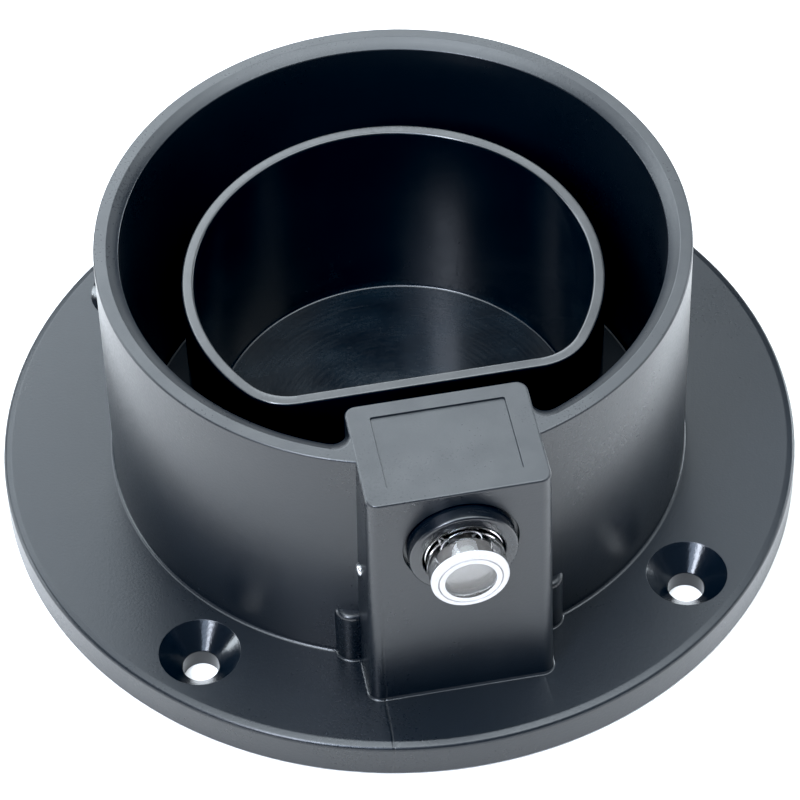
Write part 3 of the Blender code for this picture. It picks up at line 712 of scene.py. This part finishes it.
def one_mesh(first, *others):
    """Joins tools that don't touch each other into one."""
    bm = bmesh.new()
    for tool in (first, *others):
        bm.from_mesh(tool.data)
    bm.to_mesh(first.data)
    bm.free()
    for tool in others:
        bpy.data.objects.remove(tool)
    return first


def applied(made, modifier):
    """Replaces the mesh with what its modifier makes of it."""
    graph = bpy.context.evaluated_depsgraph_get()
    result = bpy.data.meshes.new_from_object(made.evaluated_get(graph))
    made.modifiers.remove(modifier)
    made.data = result
    shade(made)
    return made


def combine(target, operation, *tools):
    """Unites or cuts the target with each tool in turn, then removes the tools."""
    for tool in tools:
        step = target.modifiers.new(tool.name, "BOOLEAN")
        step.operation = operation
        step.solver = "EXACT"
        step.object = tool
        applied(target, step)
        bpy.data.objects.remove(tool)
    return target


def bevelled(made, width, segments=3):
    """Rounds the mesh's sharp edges."""
    step = made.modifiers.new("edges", "BEVEL")
    step.width = width * MM
    step.segments = segments
    step.limit_method = "ANGLE"
    step.angle_limit = radians(40.0)
    return applied(made, step)


def finished(made, body, slot, *nodes):
    """Keeps flat faces flat, and puts the piece on its body in place of its CAD nodes."""
    normals = made.modifiers.new("flat_faces", "WEIGHTED_NORMAL")
    normals.keep_sharp = True
    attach(made, body)
    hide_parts(*nodes)
    return made


ALONG_X = Matrix.Rotation(radians(90.0), 4, "Y")
OUT_OF_TOWER = Matrix.Rotation(radians(90.0), 4, "X")
BUTTON_PLACE = (0.0, TOWER_FRONT, BUTTON_Z)


def rod(name, radius, z0, z1, location, turn=None, steps=32):
    made = turned(name, [(0.0, z0), (radius, z0), (radius, z1), (0.0, z1)], steps=steps)
    return place(made, location, turn)


# ---------------------------------------------------------------- housing
def flange_and_sleeve(material):
    path = [
        (0.0, 0.0, 0.0),
        (FLANGE_R, 0.0, 0.4),
        (FLANGE_R, FLANGE_T - FLANGE_CROWN_DROP, 0.7),
        (FLANGE_R - FLANGE_CROWN_WIDTH, FLANGE_T, 1.0),
        (SLEEVE_R + 0.1, FLANGE_T, FOOT_FILLET),
        (SLEEVE_R, RIM_TOP, 0.35),
        (RIM_R, RIM_TOP, 0.25),
        (BORE_R, LEAD_Z, 0.3),
        (FOOT_BORE_R, MOAT_FLOOR, 0.4),
        (0.0, MOAT_FLOOR, 0.0),
    ]
    return turned("holster_housing", rounded(path, quarter=8), material, steps=ROUND)


def foot_flare(size):
    """A path of (growth, height) from the flange up to a plain wall, as a hollow curve of that size."""
    sunk = FLANGE_T - 0.02
    curve = arc((size, sunk + size), size, -0.5 * pi, -pi, 6)
    return [(size, TOWER_FOOT_Z)] + curve


def tower():
    top = arc((-TOP_EDGE, TOWER_TOP - TOP_EDGE), TOP_EDGE, 0.0, 0.5 * pi, 5)
    return by_height("tower", tower_section, foot_flare(FOOT_FILLET) + top)


def tower_roots():
    """The hollow corners inside the sleeve, on both sides of the tower."""
    edge = 0.3
    top = arc((-edge, RIM_TOP - edge), edge, 0.0, 0.5 * pi, 4)
    path = [(0.0, TOWER_FOOT_Z), (0.0, LEAD_Z)] + top
    right = by_height("root", root_section, path)
    left = by_height("root", lambda grow, z: [(-x, y) for x, y in root_section(grow, z)], path)
    return one_mesh(right, left)


def screw_bosses():
    bosses = []
    end = [(SCREW_BOSS_R, 10.0, 0.0), (SCREW_BOSS_R, SCREW_BOSS_TOP, 0.8), (0.0, SCREW_BOSS_TOP, 0.0)]
    for side in (-1, 1):
        path = [(0.0, TOWER_FOOT_Z)] + [(SCREW_BOSS_R + grow, z) for grow, z in foot_flare(BOSS_FILLET)]
        path += rounded(end)
        bosses.append(place(turned("screw_boss", path), (side * SCREW_BOSS[0], SCREW_BOSS[1], 0.0)))
    return one_mesh(*bosses)


def quarters(radius):
    return [(radius * cos(radians(a)), radius * sin(radians(a))) for a in (45.0, 135.0, 225.0, 315.0)]


def wall_hole_cutters():
    """Countersunk holes with a softened mouth."""
    over = FLANGE_T + 0.02
    path = [(0.0, over + 1.0, 0.0), (SINK_R + 1.0, over + 1.0, 0.0), (SINK_R + 1.0, over, 0.0)]
    path += [(SINK_R, over, 0.12), (HOLE_R, FLANGE_T - SINK_DEPTH, 0.25), (HOLE_R, 0.0, 0.0)]
    path += [(HOLE_R, -1.0, 0.0), (0.0, -1.0, 0.0)]
    return [
        place(turned("wall_hole", rounded(path, quarter=8), steps=MIDDLE_ROUND), (x, y, 0.0))
        for x, y in quarters(HOLE_GRID * sqrt(2.0))
    ]


def back_pockets():
    """The wall face is cored between its ribs, clear of the screws."""
    pockets = []
    for quarter in range(4):
        tower_side = quarter == 3
        inner = 51.0 if tower_side else 45.0
        for start, end in ((-30.0, -11.0), (-9.0, 9.0), (11.0, 30.0)):
            if tower_side and start == -9.0:
                continue
            outline = sector_outline(90.0 * quarter + start, 90.0 * quarter + end, inner, 54.0, 1.0)
            pockets.append(prism("pocket", outline, -1.0, 3.0))
    return pockets


def bezel_recess():
    """The bezel's seat in the tower's front, with a broken edge."""
    reach = BEZEL_RECESS_R
    path = [(0.0, -BEZEL_RECESS), (reach, -BEZEL_RECESS), (reach, 0.0), (reach + 1.0, 1.0), (0.0, 1.0)]
    return place(turned("bezel_recess", path, steps=FINE_ROUND), BUTTON_PLACE, OUT_OF_TOWER)


def make_housing():
    housing = flange_and_sleeve(housing_plastic())
    combine(housing, "UNION", tower(), tower_roots(), screw_bosses())
    screw_x, screw_y = SCREW_BOSS
    panel_path = [(0.0, TOWER_TOP + 1.0), (0.0, TOWER_TOP), (0.08, TOWER_TOP - PANEL_DEPTH)]
    separate = [
        prism("cavity", rectangle(*CAVITY, 1.0, 1.0), -1.0, CAVITY_TOP),
        along_path("panel", panel_outline, panel_path),
        *wall_hole_cutters(),
        *back_pockets(),
        bezel_recess(),
    ]
    for x, y in quarters(COLLAR_SCREW_R):
        sink = [(0.0, -1.0), (3.4, -1.0), (3.4, 0.0), (1.6, 2.0), (1.6, 4.0), (0.0, 4.0)]
        separate.append(place(turned("collar_hole", sink), (x, y, 0.0)))
    separate += [rod("cover_hole", 1.45, 1.0, 13.5, (x, screw_y, 0.0)) for x in (-screw_x, screw_x)]
    spigot = d_outline(SPIGOT_INSET - 0.3)
    window = prism("window", rectangle(-3.8, 3.8, 5.6, 14.6, 0.5, 0.5), 29.0, 33.0)
    crossing = [
        prism("cover_recess", cover_outline(0.0), -1.0, COVER_RECESS),
        prism("spigot_pocket", spigot, SPIGOT_POCKET_FLOOR, MOAT_FLOOR + 1.0),
        place(window, turn=OUT_OF_TOWER),
        rod("guide_hole", BARREL_R + 0.2, -4.0, 4.0, BUTTON_PLACE, OUT_OF_TOWER, SMALL_ROUND),
        rod("pin_hole", PIN_R + 0.1, -15.0, 15.0, (0.0, PIVOT_Y, PIVOT_Z), ALONG_X),
    ]
    combine(housing, "DIFFERENCE", one_mesh(*separate), one_mesh(*crossing))
    finished(housing, "housing", "charcoal_plastic", "housing")


def panel_outline(inset):
    x0, x1, y0, y1 = PANEL
    return rectangle(x0 + inset, x1 - inset, y0 + inset, y1 - inset, 0.3, 0.3)


# ---------------------------------------------------------------- collar
def make_collar():
    path = [
        (SPIGOT_INSET, COLLAR_LOW.z, 0.0),
        (SPIGOT_INSET, MOAT_FLOOR + 0.05, 0.0),
        (0.0, MOAT_FLOOR + 0.05, 0.15),
        (0.0, COLLAR_TOP, 0.4),
        (COLLAR_WALL, COLLAR_TOP, 0.4),
        (COLLAR_WALL + COLLAR_DRAFT, COLLAR_FLOOR, 0.35),
        (COLLAR_WALL + COLLAR_DRAFT + 2.0, COLLAR_FLOOR, 0.0),
    ]
    collar = along_path("connector_collar", d_outline, rounded(path), collar_plastic())
    pilots = [rod("pilot", 1.35, 2.0, 6.6, (x, y, 0.0)) for x, y in quarters(COLLAR_SCREW_R)]
    combine(collar, "DIFFERENCE", one_mesh(*pilots))
    finished(collar, "housing", "black_plastic", "socket_collar")


def make_screw(name, node, head_r, shank_r, back_z, tip_z, location, material):
    """A cross-recessed countersunk screw whose head faces the wall."""
    cone_z = back_z + 0.25
    path = [(0.0, back_z, 0.0), (head_r, back_z, 0.12), (head_r, cone_z, 0.08)]
    path += [(shank_r, cone_z + head_r - shank_r, 0.2), (shank_r, tip_z - 0.8, 0.2), (0.35, tip_z, 0.0)]
    path += [(0.0, tip_z, 0.0)]
    screw = turned(name, rounded(path, quarter=4), material)
    blades = []
    for turn in (0.0, 90.0):
        top = [(-1.3, -0.3), (1.3, -0.3), (1.3, 0.3), (-1.3, 0.3)]
        deep = [(-0.6, -0.22), (0.6, -0.22), (0.6, 0.22), (-0.6, 0.22)]
        loops = [[(x, y, back_z - 0.2) for x, y in top], [(x, y, back_z + 1.1) for x, y in deep]]
        blades.append(place(skin("blade", loops), turn=Matrix.Rotation(radians(turn), 4, "Z")))
    combine(screw, "DIFFERENCE", *blades)
    place(screw, location)
    finished(screw, "housing", "zinc_steel", node)


def make_screws(material):
    for number, (x, y) in enumerate(quarters(COLLAR_SCREW_R), 1):
        node = f"collar_screw_{number}"
        make_screw(f"{node}_fine", node, 2.8, 1.15, 0.2, 6.2, (x, y, 0.0), material)
    for number, side in enumerate((-1, 1), 1):
        node = f"cover_screw_{number}"
        spot = (side * SCREW_BOSS[0], SCREW_BOSS[1], 0.0)
        make_screw(f"{node}_fine", node, 2.4, 1.15, 0.45, 12.0, spot, material)


# ---------------------------------------------------------------- button
def make_bezel():
    path = [
        (BARREL_R, 0.05 - BEZEL_RECESS, 0.0),
        (BEZEL_R, 0.05 - BEZEL_RECESS, 0.1),
        (BEZEL_R, BEZEL_FRONT, 0.45),
        (BARREL_BORE_R, BEZEL_FRONT, 0.3),
        (BARREL_BORE_R, BARREL_STOP, 0.2),
        (STEM_R + 0.3, BARREL_STOP, 0.2),
        (STEM_R + 0.3, BARREL_REAR, 0.15),
        (BARREL_R, BARREL_REAR, 0.2),
    ]
    bezel = turned("button_bezel", rounded(path), bezel_plastic(), steps=FINE_ROUND, closed=True)
    finished(place(bezel, BUTTON_PLACE, OUT_OF_TOWER), "housing", "black_plastic", "button_guide")


def make_cap():
    """The clear cap: a shallow dish in its tip, a groove for its seal and a hollow for the plunger."""
    shares = [i / 10 for i in range(10, -1, -1)]
    dish = [(DISH_R * share, BUTTON_TIP - DISH_DEPTH * (1.0 - share**2)) for share in shares]
    path = [(0.0, HOLLOW_END, 0.0), (HOLLOW_R, HOLLOW_END, 0.1), (HOLLOW_R, HEAD[0], 0.0)]
    path += [(HOLLOW_R, CAP_REAR, 0.1), (BUTTON_R, CAP_REAR, 0.1)]
    low, high = SEAL_GROOVE
    path += [(BUTTON_R, low, 0.08), (SEAL_GROOVE_R, low, 0.1)]
    path += [(SEAL_GROOVE_R, high, 0.1), (BUTTON_R, high, 0.08)]
    path += [(BUTTON_R, RING_START, 0.0), (BUTTON_R, BUTTON_TIP, 0.5)]
    path += [(TIP_GROOVE_R + TIP_GROOVE_HALF, BUTTON_TIP, 0.0)]
    path += [(TIP_GROOVE_R, BUTTON_TIP - TIP_GROOVE_DEPTH, 0.0)]
    path += [(TIP_GROOVE_R - TIP_GROOVE_HALF, BUTTON_TIP, 0.0), (DISH_R + 0.2, BUTTON_TIP, 0.0)]
    cap = turned("clear_cap", rounded(path) + dish, clear_plastic(), steps=MIDDLE_ROUND)
    cap.data.materials.append(white_ring())
    for face in cap.data.polygons:
        x, y, z = face.center / MM
        face.material_index = int(z > RING_START and x * x + y * y > DISH_R**2)
    finished(place(cap, BUTTON_PLACE, OUT_OF_TOWER), "button", "clear_plastic", "push_button")


def make_plunger():
    under, over = HEAD
    path = [(0.0, over, 0.0), (HEAD_R, over, 0.1), (HEAD_R, under, 0.15), (STEM_R, under, 0.2)]
    low, high = CLIP_GROOVE
    path += [(STEM_R, high, 0.05), (CLIP_GROOVE_R, high, 0.05), (CLIP_GROOVE_R, low, 0.05), (STEM_R, low, 0.05)]
    dome = arc((0.0, DOME_START), STEM_R, 0.0, -0.5 * pi, 10)[:-1] + [(0.0, DOME_START - STEM_R)]
    plunger = turned("plunger", rounded(path) + dome, pale_plastic())
    finished(place(plunger, BUTTON_PLACE, OUT_OF_TOWER), "button", "pale_plastic", "button_plunger")


def make_seal():
    middle = 0.5 * sum(SEAL_GROOVE)
    section = arc((SEAL_R, middle), SEAL_WIRE_R, 0.0, tau, 16)[:-1]
    seal = turned("seal_ring", section, black_rubber(), closed=True)
    finished(place(seal, BUTTON_PLACE, OUT_OF_TOWER), "button", "black_rubber", "button_seal")


def make_clip(material):
    start, end = radians(-60.0), radians(240.0)
    outline = arc((0.0, 0.0), CLIP_R, start, end, 40) + arc((0.0, 0.0), CLIP_BORE_R, end, start, 40)
    clip = bevelled(prism("retaining_clip", outline, *CLIP, material), 0.08, 2)
    finished(place(clip, BUTTON_PLACE, OUT_OF_TOWER), "button", "spring_steel", "plunger_clip")


def make_nut(material):
    bore_r, (rear, front) = BARREL_R + 0.1, NUT
    path = [(bore_r, rear, 0.15), (NUT_R, rear, 0.2), (NUT_R, front, 0.2), (bore_r, front, 0.15)]
    nut = turned("ring_nut", rounded(path), material, closed=True)
    notches = []
    for turn in (45.0, 135.0, 225.0, 315.0):
        notch = prism("notch", rectangle(NUT_R - 0.6, 8.0, -0.8, 0.8, 0.1, 0.1, 3), rear - 1.0, rear + 0.9)
        notches.append(place(notch, turn=Matrix.Rotation(radians(turn), 4, "Z")))
    combine(nut, "DIFFERENCE", one_mesh(*notches))
    finished(place(nut, BUTTON_PLACE, OUT_OF_TOWER), "housing", "zinc_steel", "guide_nut")


def spring(name, start, end, turns, coil_r, wire_r, material):
    """A compression spring of round wire along +Z, with a closed coil at each end."""
    closed_turns, steps, sides = 0.8, 40, 12
    closed_rise = closed_turns * 2.1 * wire_r
    open_rise = end - start - 2.0 * wire_r - 2.0 * closed_rise
    loops = []
    for k in range(int(turns * steps) + 1):
        done = k / steps
        low = min(done, closed_turns) / closed_turns
        high = max(done - (turns - closed_turns), 0.0) / closed_turns
        middle = min(max(done - closed_turns, 0.0) / (turns - 2.0 * closed_turns), 1.0)
        height = start + wire_r + closed_rise * (low + high) + open_rise * middle
        out = Vector((cos(tau * done), sin(tau * done), 0.0))
        ring = []
        for s in range(sides):
            around = tau * s / sides
            rise = Vector((0.0, 0.0, height + wire_r * sin(around)))
            ring.append(out * (coil_r + wire_r * cos(around)) + rise)
        loops.append(ring)
    return skin(name, loops, material)


def make_springs(material):
    start, end = BUTTON_SPRING
    button_spring = spring("button_coil", start, end, 3.6, 2.8, 0.25, material)
    finished(place(button_spring, BUTTON_PLACE, OUT_OF_TOWER), "housing", "spring_steel", "button_spring")
    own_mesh(button_spring)
    length = CAVITY[3] - ARM_BACK_Y
    latch_spring = spring("latch_coil", 0.05, length - 0.05, 4.6, 2.2, 0.3, material)
    place(latch_spring, (0.0, CAVITY[3], SPRING_Z), OUT_OF_TOWER)
    finished(latch_spring, "housing", "spring_steel", "latch_spring")
    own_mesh(latch_spring)


# ---------------------------------------------------------------- lever, pin and cover
def slab(name, corners, half_width, edge=0.25):
    """A plate in the YZ plane through (y, z, radius) corners, with rounded edges."""
    outline = rounded(corners, 4)
    plate = skin(name, [[(x, y, z) for y, z in outline] for x in (-half_width, half_width)])
    return bevelled(plate, edge)


def make_lever():
    arm = [(-40.6, 9.5, 0.5), (-38.2, 9.5, 0.5), (-38.2, 40.0, 0.9), (-40.6, 40.0, 0.9)]
    shoulder = [(-40.0, 9.52, 0.3), (-32.5, 9.52, 0.5), (-32.5, 13.5, 0.5), (-40.0, 13.5, 0.3)]
    hook = [(-33.2, 9.5, 0.3), (-28.2, 9.5, 0.4), (-27.2, 10.2, 0.3), (-27.2, 11.0, 0.3)]
    hook += [(-30.0, 13.48, 0.6), (-33.2, 13.48, 0.3)]
    brace = [(-39.0, 12.8, 0.0), (-33.6, 12.8, 0.0), (-38.5, 20.0, 0.4), (-39.0, 20.0, 0.0)]
    lever = slab("latch_rocker", arm, 4.5)
    lever.data.materials.append(lever_plastic())
    boss_path = [(0.0, -9.8, 0.0), (2.6, -9.8, 0.3), (2.6, 9.8, 0.3), (0.0, 9.8, 0.0)]
    boss = place(turned("boss", rounded(boss_path)), (0.0, PIVOT_Y, PIVOT_Z), ALONG_X)
    peg_path = [(0.0, -PEG_LENGTH, 0.0), (PEG_R, -PEG_LENGTH, 0.25), (PEG_R, 0.5, 0.0), (0.0, 0.5, 0.0)]
    peg = place(turned("peg", rounded(peg_path)), (0.0, ARM_BACK_Y, SPRING_Z), OUT_OF_TOWER)
    blocks = [slab("shoulder", shoulder, 6.0), slab("hook", hook, 3.4), slab("brace", brace, 1.2, 0.2)]
    combine(lever, "UNION", boss, *blocks, peg)
    combine(lever, "DIFFERENCE", rod("bore", PIN_R + 0.15, -11.0, 11.0, (0.0, PIVOT_Y, PIVOT_Z), ALONG_X))
    finished(lever, "latch", "lever_plastic", "latch_lever")


def make_pin(material):
    end = PIN_HIGH.x
    path = [(0.0, -end, 0.0), (PIN_R, -end, 0.6), (PIN_R, end, 0.6), (0.0, end, 0.0)]
    pin = place(turned("pivot_shaft", rounded(path), material), (0.0, PIVOT_Y, PIVOT_Z), ALONG_X)
    finished(pin, "housing", "zinc_steel", "pivot_pin")


def make_cover():
    screw_x, screw_y = SCREW_BOSS
    path = rounded([(2.0, COVER_LOW.z, 0.0), (0.3, COVER_LOW.z, 0.3), (0.3, COVER_FRONT, 0.0)])
    cover = along_path("back_cover", cover_outline, path[1:], bezel_plastic())
    locating = prism("locating", rectangle(-9.8, 9.8, -45.3, -32.6, 0.8, 0.8), 1.0, COVER_HIGH.z)
    combine(cover, "UNION", locating)
    cutters = [prism("hollow", rectangle(-8.6, 8.6, -44.1, -33.8, 0.4, 0.4), COVER_FRONT, 6.0)]
    sink = [(0.0, -1.0), (3.1, -1.0), (3.1, COVER_LOW.z), (1.5, COVER_LOW.z + 1.6), (1.5, 3.0), (0.0, 3.0)]
    cutters += [place(turned("sink", sink), (x, screw_y, 0.0)) for x in (-screw_x, screw_x)]
    combine(cover, "DIFFERENCE", one_mesh(*cutters))
    finished(cover, "housing", "black_plastic", "latch_cover")


def make_gasket(material):
    screw_x, screw_y = SCREW_BOSS
    gasket = prism("cover_seal", cover_outline(0.5), COVER_FRONT + 0.05, COVER_RECESS - 0.05, material)
    cutters = [prism("opening", rectangle(-10.1, 10.1, -45.6, -32.3, 1.0, 1.0), 1.0, 5.0)]
    cutters += [rod("gasket_hole", 1.5, 1.0, 5.0, (x, screw_y, 0.0)) for x in (-screw_x, screw_x)]
    combine(gasket, "DIFFERENCE", one_mesh(*cutters))
    finished(bevelled(gasket, 0.12, 2), "housing", "black_rubber", "cover_gasket")


# ---------------------------------------------------------------- stage, light and camera
def make_floor():
    bm = bmesh.new()
    bmesh.ops.create_grid(bm, x_segments=8, y_segments=8, size=FLOOR_HALF)
    bmesh.ops.translate(bm, verts=bm.verts, vec=(0.0, 0.0, -FLOOR_GAP))
    floor = mesh_object("floor", bm, floor_material())


def direction(azimuth, elevation):
    """The unit vector from the object towards an azimuth (0 is -Y, 90 is +X) and an elevation, in degrees."""
    a, e = radians(azimuth), radians(elevation)
    return Vector((sin(a) * cos(e), -cos(a) * cos(e), sin(e)))


def softbox(name, azimuth, elevation, distance, size, power, colour):
    """An area light that looks at the sleeve."""
    light = bpy.data.lights.new(name, "AREA")
    light.shape = "RECTANGLE"
    light.size, light.size_y = size
    light.energy = power
    light.color = colour
    made = bpy.data.objects.new(name, light)
    towards = direction(azimuth, elevation)
    made.location = towards * distance + Vector((0.0, 0.0, 0.02))
    made.rotation_mode = "QUATERNION"
    made.rotation_quaternion = towards.to_track_quat("Z", "Y")
    made.visible_camera = False
    bpy.context.scene.collection.objects.link(made)


def make_lights():
    world = bpy.data.worlds.new("studio")
    world.use_nodes = True
    tree = world.node_tree
    background = tree.nodes["Background"]
    background.inputs["Color"].default_value = (0.86, 0.93, 1.0, 1.0)
    sky = axes(tree, add_node(tree, "ShaderNodeTexCoord").outputs["Generated"])
    tree.links.new(remap(tree, sky["Z"], 0.05, 0.28, 1.7, 0.1), background.inputs["Strength"])
    bpy.context.scene.world = world
    for light in LIGHTS:
        softbox(*light)


def make_camera():
    data = bpy.data.cameras.new("camera")
    data.lens = CAMERA_LENS
    data.sensor_width = 36.0
    camera = bpy.data.objects.new("camera", data)
    back = direction(CAMERA_AZIMUTH, CAMERA_ELEVATION)
    level = Vector((0.0, 0.0, 1.0)).cross(back).normalized()
    upright = back.cross(level)
    roll = radians(CAMERA_ROLL)
    right = cos(roll) * level + sin(roll) * upright
    up = cos(roll) * upright - sin(roll) * level
    camera.location = (Vector(CAMERA_TARGET) + back * CAMERA_DISTANCE) * MM
    camera.rotation_mode = "QUATERNION"
    camera.rotation_quaternion = Matrix((right, up, back)).transposed().to_quaternion()
    bpy.context.scene.collection.objects.link(camera)
    bpy.context.scene.camera = camera


def set_view():
    view = bpy.context.scene.view_settings
    view.view_transform = "Standard"
    view.use_curve_mapping = True
    view.curve_mapping.black_level = (BLACK_LEVEL,) * 3
    view.curve_mapping.update()


def main():
    for name in ("Cube", "Light", "Camera"):
        if name in bpy.data.objects:
            bpy.data.objects.remove(bpy.data.objects[name])
    set_view()
    make_camera()
    make_lights()
    make_floor()

    make_housing()
    make_collar()
    zinc, spring_wire = zinc_steel(), spring_steel()
    make_screws(zinc)
    make_bezel()
    make_cap()
    make_plunger()
    make_seal()
    make_clip(spring_wire)
    make_nut(zinc)
    make_springs(spring_wire)
    make_lever()
    make_pin(zinc)
    make_cover()
    make_gasket(black_rubber())


main()
